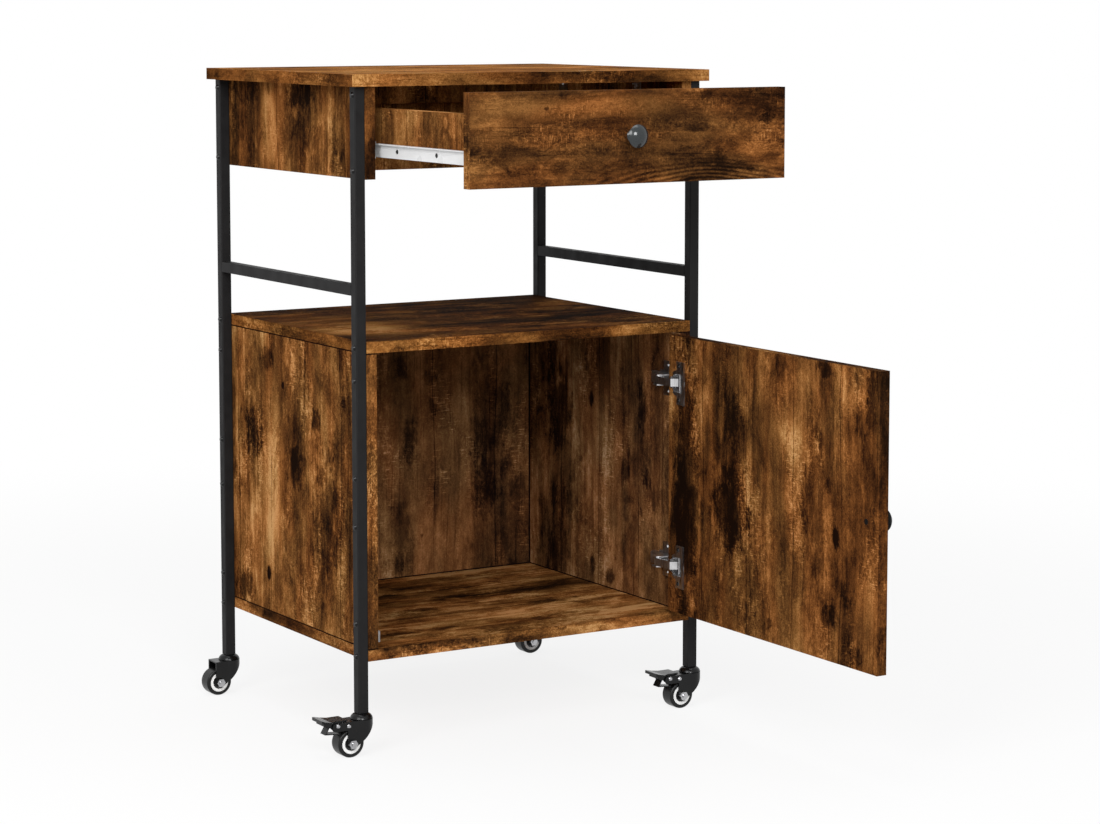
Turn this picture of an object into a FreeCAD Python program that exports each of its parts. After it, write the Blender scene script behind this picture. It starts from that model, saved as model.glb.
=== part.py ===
import FreeCAD
import Part
import math
import os

Vector = FreeCAD.Vector

# Lengths are millimetres. The origin is on the floor, midway between the four legs.
# X runs to the right as seen from the front, Y to the back and Z up.

# Worktop and frame
cart_height = 905.0
top_width = 560.0
top_depth = 450.0
top_thickness = 16.0
top_edge_round = 1.0
frame_width = 542.4
frame_depth = 428.5
tube_side = 15.0
tube_wall = 1.2
tube_corner = 1.6
leg_foot = 57.0
rung_height = 621.75

# Carcass boards
board = 15.0
apron_height = 121.8
cabinet_base = 125.85
cabinet_height = 427.45

# Frame screws, which pass through a leg into a board
screw_head_radius = 4.4
screw_head_top = 2.6
screw_head_height = 2.2
shank_sides = 6
screw_radius = 2.5
screw_grip = 12.0
screw_clearance = 0.06
apron_screw_inset = 11.5
panel_screw_inset = 36.5
panel_screw_pair = 64.6

# Wood screws that hold brackets, rails and hinge plates
wood_head_radius = 3.2
wood_head_height = 1.2
wood_radius = 1.6
wood_grip = 9.0

# Brackets between the aprons and the worktop
bracket_leg = 20.0
bracket_width = 22.0
bracket_gauge = 1.6
bracket_place = 100.0

# Drawer
drawer_pull = 245.7
side_gap = 1.5
front_height = 120.0
drawer_slide_gap = 12.5
drawer_depth = 408.0
drawer_side_base = 27.8
drawer_side_height = 64.5
drawer_back_base = 2.6
groove_depth = 5.0
groove_rise = 4.0
groove_clearance = 0.1
bottom_thickness = 3.0
cam_radius = 7.5
cam_depth = 11.0
cam_inset = 24.0
cam_height = 34.0
corner_screw_height = 45.0
corner_screw_pitch = 16.0
corner_screw_grip = 30.0

# Roller slides
slide_length = 350.0
slide_gauge = 1.2
rail_base = 26.8
rail_height = 22.0
rail_lip = 9.2
rail_setback = 15.75
runner_base = 28.3
runner_height = 18.1
runner_lip = 6.6
roller_radius = 7.5
roller_width = 5.2
roller_clearance = 0.08
roller_axle_radius = 2.0
roller_cap_radius = 3.4
roller_cap = 0.8
roller_end_gap = 0.4
roller_inset = 10.0
roller_ride = 0.3
runner_screw_first = 86.4
runner_screw_pitch = 105.1
slide_screw_inset = 30.0
rail_screw_inset = 62.0

# Door, drawn standing open at a right angle
door_height = 391.5
door_end_gap = 3.15
door_lead = 1.75
door_open_gap = 5.4

# Knobs
knob_radius = 15.0
knob_base_radius = 8.0
knob_neck_radius = 5.6
knob_height = 22.0
knob_waist = 5.5
knob_flare = 10.5
knob_rim = 14.5
knob_edge = 1.5
knob_screw_radius = 2.0
knob_screw_grip = 12.0
knob_screw_head = 4.0
knob_screw_sink = 2.2
door_knob_inset = 26.0
drawer_knob_drop = 1.0

# Concealed hinges
hinge_end_inset = 66.0
cup_radius = 17.5
cup_depth = 11.5
cup_wall = 0.8
cup_fit = 0.05
cup_inset = 21.5
flange_length = 60.4
flange_near = 1.5
flange_far = 17.5
flange_gauge = 1.2
flange_rim = 18.0
flange_lip = 2.6
flange_lip_width = 1.6
cup_mouth_length = 26.0
cup_mouth_lead = 16.0
cup_mouth_reach = 12.5
cup_screw_pitch = 48.0
cup_screw_offset = 4.0
cup_pin_radius = 1.5
cup_pin_gap = 0.3
plate_length = 49.0
plate_gauge = 1.6
plate_front = 22.5
plate_depth = 18.5
plate_screw_pitch = 37.0
plate_screw_front = 29.65
plate_waist = 22.0
arm_height = 15.4
arm_front = 16.75
arm_length = 47.0
arm_rise = 11.0
arm_nose = 26.6
arm_nose_length = 14.0
arm_slot = 11.8
link_pivot_rise = 22.6
link_pivot_front = 24.25
link_pin_radius = 2.0
link_eye_radius = 3.8
link_fit = 0.05
link_gauge = 2.0
link_width = 11.0
link_offset = 2.5
link_neck = 37.0
link_reach = 42.3
link_dip = 6.3

# Stop block behind the closed door
stop_height = 15.0
stop_base = 5.85
stop_reach = 12.0
stop_length = 30.0
stop_setback = 15.35
stop_edge = 2.0

# Casters, whose wheels trail to the left
wheel_radius = 19.0
wheel_width = 22.0
wheel_shoulder = 2.2
core_radius = 13.8
core_width = 21.0
hub_radius = 6.0
core_recess_radius = 9.6
core_recess = 2.2
hub_width = 22.4
core_fit = 0.03
caster_trail = 20.5
axle_radius = 3.0
axle_clearance = 0.08
nut_across = 11.0
nut_thickness = 5.0
bolt_end = 1.6
bolt_head = 3.6
fork_gap = 23.0
fork_wall = 1.8
fork_top = 49.2
fork_plate_front = 26.5
fork_plate_round = 7.5
hood_radius = 15.3
hood_edge_height = 45.5
hood_foot = 9.0
hood_foot_height = 17.5
hood_bulge = 1.2
fork_arm_reach = 49.4
fork_arm_base = 38.0
fork_arm_round = 4.2
race_radius = 11.0
race_rise = 1.8
kingpin_radius = 3.5
kingpin_head_radius = 6.5
kingpin_head = 2.0
kingpin_clearance = 0.08
swivel_gap = 0.3
dome_radius = 15.3
dome_base = 50.0
dome_wall = 1.2
dome_crown_radius = 7.0
dome_crown_height = 56.95
dome_shoulder_share = 0.66
stem_radius = 4.0
stem_length = 23.0
stem_fit = 0.05
insert_length = 25.0
insert_fit = 0.05

# Foot brake on the two front casters
rivet_radius = 2.0
rivet_head_radius = 2.9
rivet_head = 1.2
rivet_fit = 0.05
pivot_rivet_place = 41.0
pivot_rivet_height = 45.4
spacer_rivet_place = 25.0
spacer_rivet_height = 43.6
pedal_gauge = 1.8
pedal_root = 28.0
pedal_root_width = 25.0
pedal_spread = 46.0
pedal_width = 35.0
pedal_height = 52.8
pedal_kink = 53.0
pedal_tip = 66.0
pedal_tip_height = 55.6
pedal_lip = 4.0
pedal_corner = 3.0
pedal_ear_gap = 0.5
pedal_ear_wall = 1.8
pedal_ear_front = 61.5
pedal_ear_front_base = 47.3
pedal_ear_back = 34.5
pedal_ear_base = 39.5
shoe_width = 14.0
shoe_gauge = 1.2
shoe_root = 51.0
shoe_root_height = 43.4
shoe_bend = 56.5
shoe_bend_height = 35.4
shoe_end = 36.4
shoe_end_height = 33.6

# Cuts run past the faces they open by this much
overrun = 1.0

# Places worked out from the sizes above
top_face = cart_height - top_thickness
leg_x = (frame_width - tube_side) / 2
leg_y = (frame_depth - tube_side) / 2
carcass_x = frame_width / 2 - tube_side
inner_x = carcass_x - board
front_y = -frame_depth / 2
back_y = frame_depth / 2
inner_back_y = back_y - board
apron_base = top_face - apron_height
cabinet_top = cabinet_base + cabinet_height
panel_base = cabinet_base + board
panel_top = cabinet_top - board

drawer_face_y = front_y - drawer_pull
drawer_inner_y = drawer_face_y + board
drawer_rear_y = drawer_face_y + drawer_depth
drawer_outer_x = inner_x - drawer_slide_gap
drawer_inner_x = drawer_outer_x - board
drawer_front_x = inner_x - side_gap
side_base_z = apron_base + drawer_side_base
side_top_z = side_base_z + drawer_side_height
runner_z = apron_base + runner_base
rail_z = apron_base + rail_base
rail_front_y = front_y + rail_setback
lip_under_z = runner_z + runner_height - slide_gauge
front_roller_y = rail_front_y + roller_inset
front_roller_z = lip_under_z - roller_ride - roller_radius
rear_roller_y = drawer_inner_y + slide_length - roller_inset
rear_roller_z = rail_z + slide_gauge + roller_ride + roller_radius

door_outer_x = inner_x - door_open_gap
door_inner_x = door_outer_x - board
door_edge_y = front_y - door_lead
door_free_y = door_edge_y - 2 * drawer_front_x
door_base = panel_base + door_end_gap
closed_x = inner_x - side_gap
pivot_x = (closed_x + door_outer_x + front_y - door_edge_y) / 2
pivot_y = (door_edge_y + front_y + door_outer_x - closed_x) / 2
pivot = Vector(pivot_x, pivot_y, 0)
hinge_heights = (door_base + hinge_end_inset, door_base + door_height - hinge_end_inset)
cup_y = door_edge_y - cup_inset
link_pivot_x = inner_x - link_pivot_rise
link_pivot_y = front_y + link_pivot_front

corners = {
    "front_left": (-1, -1),
    "front_right": (1, -1),
    "rear_left": (-1, 1),
    "rear_right": (1, 1),
}
sides = {"left": -1, "right": 1}
UP = Vector(0, 0, 1)
parts = {}


def block(low, high):
    """Box between two opposite corners, given in any order."""
    size = [abs(b - a) for a, b in zip(low, high)]
    corner = [min(a, b) for a, b in zip(low, high)]
    return Part.makeBox(size[0], size[1], size[2], Vector(*corner))


def rod(start, direction, radius, length):
    return Part.makeCylinder(radius, length, Vector(*start), Vector(*direction))


def outline(start, *steps):
    """Closed face in the XZ plane. A step is a point, or a pair of points for an arc."""
    edges = []
    here = start
    for step in steps + (start,):
        a = Vector(here[0], 0, here[1])
        if isinstance(step[0], tuple):
            middle, step = step
            b = Vector(step[0], 0, step[1])
            edges.append(Part.Arc(a, Vector(middle[0], 0, middle[1]), b).toShape())
        elif step != here:
            edges.append(Part.makeLine(a, Vector(step[0], 0, step[1])))
        here = step
    return Part.Face(Part.Wire(edges))


def turned(face, place=(0, 0, 0), direction=(0, 0, 1)):
    """Solid of revolution of an XZ face about Z, then aimed along a direction."""
    solid = face.revolve(Vector(0, 0, 0), UP, 360)
    turn = FreeCAD.Rotation(UP, Vector(*direction))
    return solid.transformed(FreeCAD.Placement(Vector(*place), turn).toMatrix())


def slab(face, width, y=0.0):
    """XZ face made a solid of the given width in Y, centred on y."""
    face = face.copy()
    face.translate(Vector(0, y - width / 2, 0))
    return face.extrude(Vector(0, width, 0))


def upright(points, z0, z1):
    """Prism over a polygon in the XY plane."""
    corners_3d = [Vector(x, y, z0) for x, y in points]
    face = Part.Face(Part.makePolygon(corners_3d + corners_3d[:1]))
    return face.extrude(Vector(0, 0, z1 - z0))


def joined(shapes):
    shapes = list(shapes)
    solid = shapes[0].fuse(shapes[1:]) if len(shapes) > 1 else shapes[0]
    return solid.removeSplitter()


def cut(shape, tools):
    return shape.cut(Part.makeCompound(list(tools)))


def moved(shape, x, y, z=0.0):
    copy = shape.copy()
    copy.translate(Vector(x, y, z))
    return copy


def mirrored(shape, side):
    """The left-hand copy of a piece drawn on the right, or the piece itself."""
    if side > 0:
        return shape
    return shape.mirror(Vector(0, 0, 0), Vector(1, 0, 0))


def headed_screw(place, direction, head, shank_radius, length):
    """Screw whose head stands on the face at place, with its threadless shank along the direction."""
    base_radius, crown_radius, height = head
    aim = Vector(*direction)
    seat = Vector(*place)
    turn = FreeCAD.Rotation(Vector(0, 0, 1), aim)
    angles = [math.radians(360 * k / shank_sides) for k in range(shank_sides)]
    rim = [Vector(shank_radius * math.cos(a), shank_radius * math.sin(a), 0) for a in angles]
    ring = [seat + turn.multVec(point) for point in rim]
    body = Part.Face(Part.makePolygon(ring + ring[:1])).extrude(aim * length)
    crown = Part.makeCone(base_radius, crown_radius, height, seat, aim * -1)
    return joined([body, crown])


def wood_screw(place, direction):
    head = (wood_head_radius, wood_radius, wood_head_height)
    return headed_screw(place, direction, head, wood_radius, wood_grip)


def wood_hole(place, direction):
    start = Vector(*place) - Vector(*direction) * overrun
    radius = wood_radius + screw_clearance
    return Part.makeCylinder(radius, wood_grip + 2 * overrun, start, Vector(*direction))


def frame_screw_heights():
    middle = (panel_base + panel_top) / 2
    return (
        top_face - apron_screw_inset,
        apron_base + apron_screw_inset,
        cabinet_top - board / 2,
        panel_top - panel_screw_inset,
        middle + panel_screw_pair / 2,
        middle - panel_screw_pair / 2,
        panel_base + panel_screw_inset,
        cabinet_base + board / 2,
    )


def frame_screw_holes():
    """Every hole for the frame screws, through the legs and into the boards."""
    holes = []
    length = tube_side + screw_grip + screw_clearance + overrun
    for side, end in corners.values():
        for z in frame_screw_heights():
            start = (side * (frame_width / 2 + overrun), end * leg_y, z)
            holes.append(rod(start, (-side, 0, 0), screw_radius + screw_clearance, length))
    return holes


def frame_screws():
    head = (screw_head_radius, screw_head_top, screw_head_height)
    screws = []
    for side, end in corners.values():
        for z in frame_screw_heights():
            place = (side * frame_width / 2, end * leg_y, z)
            screws.append(headed_screw(place, (-side, 0, 0), head, screw_radius, tube_side + screw_grip))
    return Part.makeCompound(screws)


def drilled(shape):
    """A board or leg with the frame screw holes that reach it."""
    box = shape.BoundBox
    return cut(shape, [hole for hole in frame_screw_holes() if box.intersect(hole.BoundBox)])


def tube(length):
    """Square tube along Z, with rounded outer edges, standing on the origin."""
    half = tube_side / 2
    outer = block((-half, -half, 0), (half, half, length))
    outer = outer.makeFillet(tube_corner, [e for e in outer.Edges if abs(e.tangentAt(0).z) > 0.5])
    bore = half - tube_wall
    return outer.cut(block((-bore, -bore, -overrun), (bore, bore, length + overrun)))


def leg(side, end):
    return drilled(moved(tube(top_face - leg_foot), side * leg_x, end * leg_y, leg_foot))


def rung(side):
    length = 2 * leg_y - tube_side
    bar = tube(length)
    bar.rotate(Vector(0, 0, 0), Vector(1, 0, 0), -90)
    return moved(bar, side * leg_x, -length / 2, rung_height)


def worktop():
    low = (-top_width / 2, -top_depth / 2, top_face)
    high = (top_width / 2, top_depth / 2, cart_height)
    plate = block(low, high)
    uprights = [e for e in plate.Edges if abs(e.tangentAt(0).z) > 0.5]
    return cut(plate.makeFillet(top_edge_round, uprights), bracket_holes())


def bracket_sites():
    return [(side, end * bracket_place) for side in (-1, 1) for end in (-1, 1)]


def bracket_screw_places():
    """Place and direction of each bracket screw, one into the apron and one up into the worktop."""
    places = []
    for side, y in bracket_sites():
        face = side * (inner_x - bracket_gauge)
        places.append(((face, y, top_face - bracket_leg / 2), (side, 0, 0)))
        middle = side * (inner_x - bracket_leg / 2)
        places.append(((middle, y, top_face - bracket_gauge), (0, 0, 1)))
    return places


def bracket_holes():
    return [wood_hole(place, direction) for place, direction in bracket_screw_places()]


def brackets():
    pieces = []
    for side, y in bracket_sites():
        outer = block(
            (side * inner_x, y - bracket_width / 2, top_face),
            (side * (inner_x - bracket_leg), y + bracket_width / 2, top_face - bracket_leg),
        )
        hollow = block(
            (side * (inner_x - bracket_gauge), y - bracket_width, top_face - bracket_gauge),
            (side * (inner_x - 2 * bracket_leg), y + bracket_width, top_face - 2 * bracket_leg),
        )
        pieces.append(cut(outer.cut(hollow), bracket_holes()))
    return Part.makeCompound(pieces)


def rail_screw_places():
    """Screws of both rails, through the web into the apron."""
    places = []
    middle = rail_z + rail_height / 2
    for side in (-1, 1):
        for y in (rail_front_y + rail_screw_inset, rail_front_y + slide_length - slide_screw_inset):
            places.append(((side * (inner_x - slide_gauge), y, middle), (side, 0, 0)))
    return places


def rail_holes():
    return [wood_hole(place, direction) for place, direction in rail_screw_places()]


def apron_side(side):
    low = (side * inner_x, front_y, apron_base)
    high = (side * carcass_x, back_y, top_face)
    return cut(drilled(block(low, high)), bracket_holes() + rail_holes())


def apron_back():
    return block((-inner_x, inner_back_y, apron_base), (inner_x, back_y, top_face))


def cabinet_deck(low_z):
    return drilled(block((-carcass_x, front_y, low_z), (carcass_x, back_y, low_z + board)))


def cabinet_side(side):
    panel = block((side * inner_x, front_y, panel_base), (side * carcass_x, back_y, panel_top))
    panel = drilled(panel)
    if side > 0:
        panel = cut(panel, [wood_hole(place, direction) for place, direction in plate_screw_places()])
    return panel


def cabinet_back():
    return block((-inner_x, inner_back_y, panel_base), (inner_x, back_y, panel_top))


def stop_block():
    """Grey block low on the left, whose front face the closed door meets."""
    front = front_y + stop_setback
    base = panel_base + stop_base
    body = block(
        (-inner_x, front, base),
        (-inner_x + stop_reach, front + stop_length, base + stop_height),
    )
    outer = [e for e in body.Edges if e.BoundBox.XMin > -inner_x + stop_reach - stop_edge]
    return body.makeChamfer(stop_edge, [e for e in outer if abs(e.tangentAt(0).y) < 0.5])


def cap_arc(radius, low, high):
    """Arc of a ball from the edge of a dome to its top on the axis."""
    centre = (high ** 2 - low ** 2 - radius ** 2) / (2 * (high - low))
    ball = high - centre
    half_turn = math.asin(radius / ball) / 2
    middle = (ball * math.sin(half_turn), centre + ball * math.cos(half_turn))
    return (middle, (0, high))


def knob(place, direction):
    """Mushroom knob on a flared foot, bored for its screw."""
    face = outline(
        (0, 0),
        (knob_base_radius, 0),
        ((knob_neck_radius, knob_waist), (knob_base_radius, knob_flare)),
        (knob_radius - knob_edge, knob_rim - knob_edge),
        (knob_radius, knob_rim),
        cap_arc(knob_radius, knob_rim, knob_height),
    )
    body = turned(face, place, direction)
    start = Vector(*place) - Vector(*direction) * overrun
    radius = knob_screw_radius + screw_clearance
    return body.cut(Part.makeCylinder(radius, knob_screw_grip + 2 * overrun, start, Vector(*direction)))


def knob_screw(place, direction):
    """Countersunk screw from the back of a board into a knob."""
    aim = Vector(*direction)
    start = Vector(*place)
    shank = Part.makeCylinder(knob_screw_radius, board + knob_screw_grip, start, aim)
    head = Part.makeCone(knob_screw_head, knob_screw_radius, knob_screw_sink, start, aim)
    return joined([shank, head])


def knob_hole(place, direction):
    aim = Vector(*direction)
    start = Vector(*place) - aim * overrun
    shank = Part.makeCylinder(knob_screw_radius + screw_clearance, board + 2 * overrun, start, aim)
    slope = (knob_screw_head - knob_screw_radius) / knob_screw_sink
    wide = knob_screw_head + screw_clearance + slope * overrun
    narrow = knob_screw_radius + screw_clearance
    sink = Part.makeCone(wide, narrow, knob_screw_sink + overrun, start, aim)
    return joined([shank, sink])


drawer_knob_z = apron_base + front_height / 2 + drawer_knob_drop
door_knob_y = door_free_y + door_knob_inset
door_knob_z = door_base + door_height / 2


def bottom_groove():
    """Room for the drawer bottom, cut from the front, sides and back."""
    reach_x = drawer_inner_x + groove_depth + groove_clearance
    base = side_base_z + groove_rise - groove_clearance
    return block(
        (-reach_x, drawer_inner_y - groove_depth - groove_clearance, base),
        (reach_x, drawer_rear_y - board + groove_depth + groove_clearance,
         base + bottom_thickness + 2 * groove_clearance),
    )


def drawer_bottom():
    reach_x = drawer_inner_x + groove_depth
    base = side_base_z + groove_rise
    return block(
        (-reach_x, drawer_inner_y - groove_depth, base),
        (reach_x, drawer_rear_y - board + groove_depth, base + bottom_thickness),
    )


def drawer_front():
    plate = block(
        (-drawer_front_x, drawer_face_y, apron_base),
        (drawer_front_x, drawer_inner_y, apron_base + front_height),
    )
    return cut(plate, [bottom_groove(), knob_hole((0, drawer_inner_y, drawer_knob_z), (0, -1, 0))])


def cam_places():
    """Centre of each cam fitting, on the inner face of the drawer sides."""
    y = drawer_inner_y + cam_inset
    return [(side * drawer_inner_x, y, side_base_z + cam_height) for side in (-1, 1)]


def cams():
    return [rod(place, (math.copysign(1, place[0]), 0, 0), cam_radius, cam_depth) for place in cam_places()]


def cam_holes():
    holes = []
    for place in cam_places():
        side = math.copysign(1, place[0])
        start = (place[0] - side * overrun, place[1], place[2])
        length = cam_depth + overrun + screw_clearance
        holes.append(rod(start, (side, 0, 0), cam_radius + screw_clearance, length))
    return holes


def corner_screw_places():
    """Screws through the drawer sides into the ends of its back."""
    y = drawer_rear_y - board / 2
    low = side_base_z + corner_screw_height - corner_screw_pitch / 2
    heights = (low, low + corner_screw_pitch)
    return [((side * drawer_outer_x, y, z), (-side, 0, 0)) for side in (-1, 1) for z in heights]


def corner_screws():
    head = (wood_head_radius, wood_radius, wood_head_height)
    return [headed_screw(p, d, head, wood_radius, corner_screw_grip) for p, d in corner_screw_places()]


def corner_screw_holes():
    holes = []
    for place, direction in corner_screw_places():
        start = Vector(*place) - Vector(*direction) * overrun
        length = corner_screw_grip + 2 * overrun
        holes.append(Part.makeCylinder(wood_radius + screw_clearance, length, start, Vector(*direction)))
    return holes


def drawer_side(side):
    plate = block(
        (side * drawer_inner_x, drawer_inner_y, side_base_z),
        (side * drawer_outer_x, drawer_rear_y, side_top_z),
    )
    holes = [bottom_groove()] + cam_holes() + corner_screw_holes() + runner_holes()
    return cut(plate, holes)


def drawer_back():
    plate = block(
        (-drawer_inner_x, drawer_rear_y - board, apron_base + drawer_back_base),
        (drawer_inner_x, drawer_rear_y, side_top_z),
    )
    return cut(plate, [bottom_groove()] + corner_screw_holes())


def drawer_fittings():
    screw = knob_screw((0, drawer_inner_y, drawer_knob_z), (0, -1, 0))
    runner_screws = [wood_screw(place, direction) for place, direction in runner_screw_places()]
    return Part.makeCompound([screw] + cams() + corner_screws() + runner_screws)


def runner_screw_places():
    places = []
    middle = runner_z + runner_height / 2
    for side in (-1, 1):
        for k in range(3):
            y = drawer_inner_y + runner_screw_first + k * runner_screw_pitch
            places.append(((side * (drawer_outer_x + slide_gauge), y, middle), (-side, 0, 0)))
    return places


def runner_holes():
    return [wood_hole(place, direction) for place, direction in runner_screw_places()]


def roller_pin(x, direction, y, z):
    """Stub axle with a cap that keeps the roller on, from the web at x."""
    length = roller_width + 2 * roller_end_gap
    stub = rod((x, y, z), (direction, 0, 0), roller_axle_radius, length)
    cap = rod((x + direction * length, y, z), (direction, 0, 0), roller_cap_radius, roller_cap)
    return joined([stub, cap])


def slide_rail(side):
    """C channel on the apron, open towards the drawer, with a stub axle at its front end."""
    web_x = inner_x - slide_gauge
    outer = block(
        (inner_x, rail_front_y, rail_z),
        (inner_x - rail_lip, rail_front_y + slide_length, rail_z + rail_height),
    )
    hollow = block(
        (web_x, rail_front_y - overrun, rail_z + slide_gauge),
        (inner_x - 2 * rail_lip, rail_front_y + slide_length + overrun, rail_z + rail_height - slide_gauge),
    )
    pin = roller_pin(web_x, -1, front_roller_y, front_roller_z)
    return cut(mirrored(joined([outer.cut(hollow), pin]), side), rail_holes())


def slide_runner(side):
    """Angle on the drawer side whose top lip rides on the rail's roller."""
    web_x = drawer_outer_x + slide_gauge
    rear = drawer_inner_y + slide_length
    top = runner_z + runner_height
    web = block((drawer_outer_x, drawer_inner_y, runner_z), (web_x, rear, top))
    lip = block((drawer_outer_x, drawer_inner_y, lip_under_z), (drawer_outer_x + runner_lip, rear, top))
    pin = roller_pin(web_x, 1, rear_roller_y, rear_roller_z)
    return cut(mirrored(joined([web, lip, pin]), side), runner_holes())


def roller(x, direction, y, z):
    """Nylon roller with a crowned edge, running on a stub axle."""
    bore = roller_axle_radius + roller_clearance
    shoulder = roller_width / 4
    face = outline(
        (bore, 0),
        (roller_radius - shoulder, 0),
        (roller_radius, shoulder),
        (roller_radius, roller_width - shoulder),
        (roller_radius - shoulder, roller_width),
        (bore, roller_width),
    )
    return turned(face, (x + direction * roller_end_gap, y, z), (direction, 0, 0))


def front_roller(side):
    return roller(side * (inner_x - slide_gauge), -side, front_roller_y, front_roller_z)


def rear_roller(side):
    return roller(side * (drawer_outer_x + slide_gauge), side, rear_roller_y, rear_roller_z)


def cup_bore(z):
    start = (door_inner_x - overrun, cup_y, z)
    return rod(start, (1, 0, 0), cup_radius, cup_depth + overrun)


def cup_screw_places():
    places = []
    for z in hinge_heights:
        for end in (-1, 1):
            place = (door_inner_x - flange_gauge, cup_y - cup_screw_offset, z + end * cup_screw_pitch / 2)
            places.append((place, (1, 0, 0)))
    return places


def cup_screw_holes():
    return [wood_hole(place, direction) for place, direction in cup_screw_places()]


def door_panel():
    panel = block(
        (door_inner_x, door_free_y, door_base),
        (door_outer_x, door_edge_y, door_base + door_height),
    )
    bores = [cup_bore(z) for z in hinge_heights]
    screw = knob_hole((door_inner_x, door_knob_y, door_knob_z), (1, 0, 0))
    return cut(panel, bores + cup_screw_holes() + [screw])


def door_screws():
    knob_part = knob_screw((door_inner_x, door_knob_y, door_knob_z), (1, 0, 0))
    cup_part = [wood_screw(place, direction) for place, direction in cup_screw_places()]
    return Part.makeCompound([knob_part] + cup_part)


def hinge_cup(z):
    """Pressed cup with its two-winged flange, a narrowed mouth and the pin across it."""
    face = door_inner_x
    radius = cup_radius - cup_fit
    can = rod((face, cup_y, z), (1, 0, 0), radius, cup_depth)
    ring = rod((face - flange_gauge, cup_y, z), (1, 0, 0), flange_rim, flange_gauge)
    wings = block(
        (face - flange_gauge, cup_y - flange_far, z - flange_length / 2),
        (face, cup_y + flange_near, z + flange_length / 2),
    )
    lip = block(
        (face - flange_lip, cup_y - flange_far, z - flange_length / 2),
        (face, cup_y - flange_far + flange_lip_width, z + flange_length / 2),
    )
    hollow = rod((face, cup_y, z), (1, 0, 0), radius - cup_wall, cup_depth - cup_wall)
    mouth = block(
        (face - flange_gauge - overrun, cup_y - cup_mouth_reach, z - cup_mouth_length / 2),
        (face + overrun, cup_y + cup_mouth_lead, z + cup_mouth_length / 2),
    )
    shell = joined([can, ring, wings, lip]).cut(hollow).cut(mouth)
    pin = cup_pin(z, radius - cup_wall / 2)
    return cut(joined([shell, pin]), cup_screw_holes())


def link_tip():
    """Centre of the link's rounded tip."""
    return Vector(link_pivot_x + link_dip, link_pivot_y - link_reach, 0)


def cup_pin(z, half_width):
    """Pin across the cup, beside the link's tip and clear of the tip's path in and out."""
    lead = pivot - Vector(link_pivot_x, link_pivot_y, 0)
    lead.normalize()
    centre = link_tip() + lead * (cup_pin_radius + link_gauge / 2 + cup_pin_gap)
    side = abs(centre.y - cup_y) + cup_pin_radius
    reach = math.sqrt(half_width ** 2 - side ** 2)
    return rod((centre.x, centre.y, z - reach), (0, 0, 1), cup_pin_radius, 2 * reach)


def plate_screw_places():
    places = []
    y = front_y + plate_screw_front
    for z in hinge_heights:
        for end in (-1, 1):
            place = (inner_x - plate_gauge, y, z + end * plate_screw_pitch / 2)
            places.append((place, (1, 0, 0)))
    return places


def hinge_plate(z):
    """Winged plate on the cabinet side, with the arm whose nose holds the link's pin."""
    front = front_y + plate_front
    wing_end = plate_length / 2
    waist = plate_waist / 2
    flare = plate_depth / 4
    wings = block(
        (inner_x - plate_gauge, front, z - wing_end),
        (inner_x, front + plate_depth, z + wing_end),
    )
    foot = block(
        (inner_x - plate_gauge, front - flare, z - waist),
        (inner_x, front + plate_depth + 2 * flare, z + waist),
    )
    nose_y = front_y + arm_front
    face = Part.Face(Part.makePolygon([Vector(x, y, z - arm_height / 2) for x, y in (
        (inner_x, nose_y),
        (link_pivot_x + link_eye_radius, nose_y),
        (inner_x - arm_nose, nose_y + arm_nose_length / 4),
        (inner_x - arm_nose, nose_y + arm_nose_length),
        (inner_x - arm_rise, nose_y + arm_nose_length + arm_rise),
        (inner_x - arm_rise, nose_y + arm_length - arm_rise / 2),
        (inner_x - arm_rise / 2, nose_y + arm_length),
        (inner_x, nose_y + arm_length),
        (inner_x, nose_y),
    )]))
    arm = face.extrude(Vector(0, 0, arm_height))
    slot = block(
        (inner_x - 2 * arm_nose, nose_y - overrun, z - arm_slot / 2),
        (inner_x - arm_rise / 2, link_pivot_y + arm_nose_length, z + arm_slot / 2),
    )
    pin = rod((link_pivot_x, link_pivot_y, z - arm_height / 2), (0, 0, 1), link_pin_radius, arm_height)
    body = joined([joined([wings, foot, arm]).cut(slot), pin])
    return cut(body, [wood_hole(place, direction) for place, direction in plate_screw_places()])


def hinge_link(z):
    """Cranked link from the arm's pin to the cup, shown with the door open."""
    half = link_gauge / 2
    low = z - link_width / 2
    start = Vector(link_pivot_x - link_offset, link_pivot_y, 0)
    elbow = start - Vector(0, link_neck, 0)
    pieces = [rod((link_pivot_x, link_pivot_y, low), (0, 0, 1), link_eye_radius, link_width)]
    for a, b in ((start, elbow), (elbow, link_tip())):
        along = b - a
        across = Vector(-along.y, along.x, 0).normalize() * half
        ring = [(p.x, p.y) for p in (a + across, a - across, b - across, b + across)]
        pieces.append(upright(ring, low, low + link_width))
        pieces.append(rod((b.x, b.y, low), (0, 0, 1), half, link_width))
    bore = rod(
        (link_pivot_x, link_pivot_y, z - link_width), (0, 0, 1), link_pin_radius + link_fit, 2 * link_width
    )
    return joined(pieces).cut(bore)


def wheel_centre():
    return (-caster_trail, 0, wheel_radius)


def tyre():
    """Tread with rounded shoulders, drawn about its own axis and laid along Y."""
    half = wheel_width / 2
    bore = core_radius + core_fit
    bend = wheel_shoulder * (1 - math.sqrt(0.5))
    face = outline(
        (bore, -half),
        (wheel_radius - wheel_shoulder, -half),
        ((wheel_radius - bend, -half + bend), (wheel_radius, -half + wheel_shoulder)),
        (wheel_radius, half - wheel_shoulder),
        ((wheel_radius - bend, half - bend), (wheel_radius - wheel_shoulder, half)),
        (bore, half),
    )
    return turned(face, wheel_centre(), (0, 1, 0))


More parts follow.
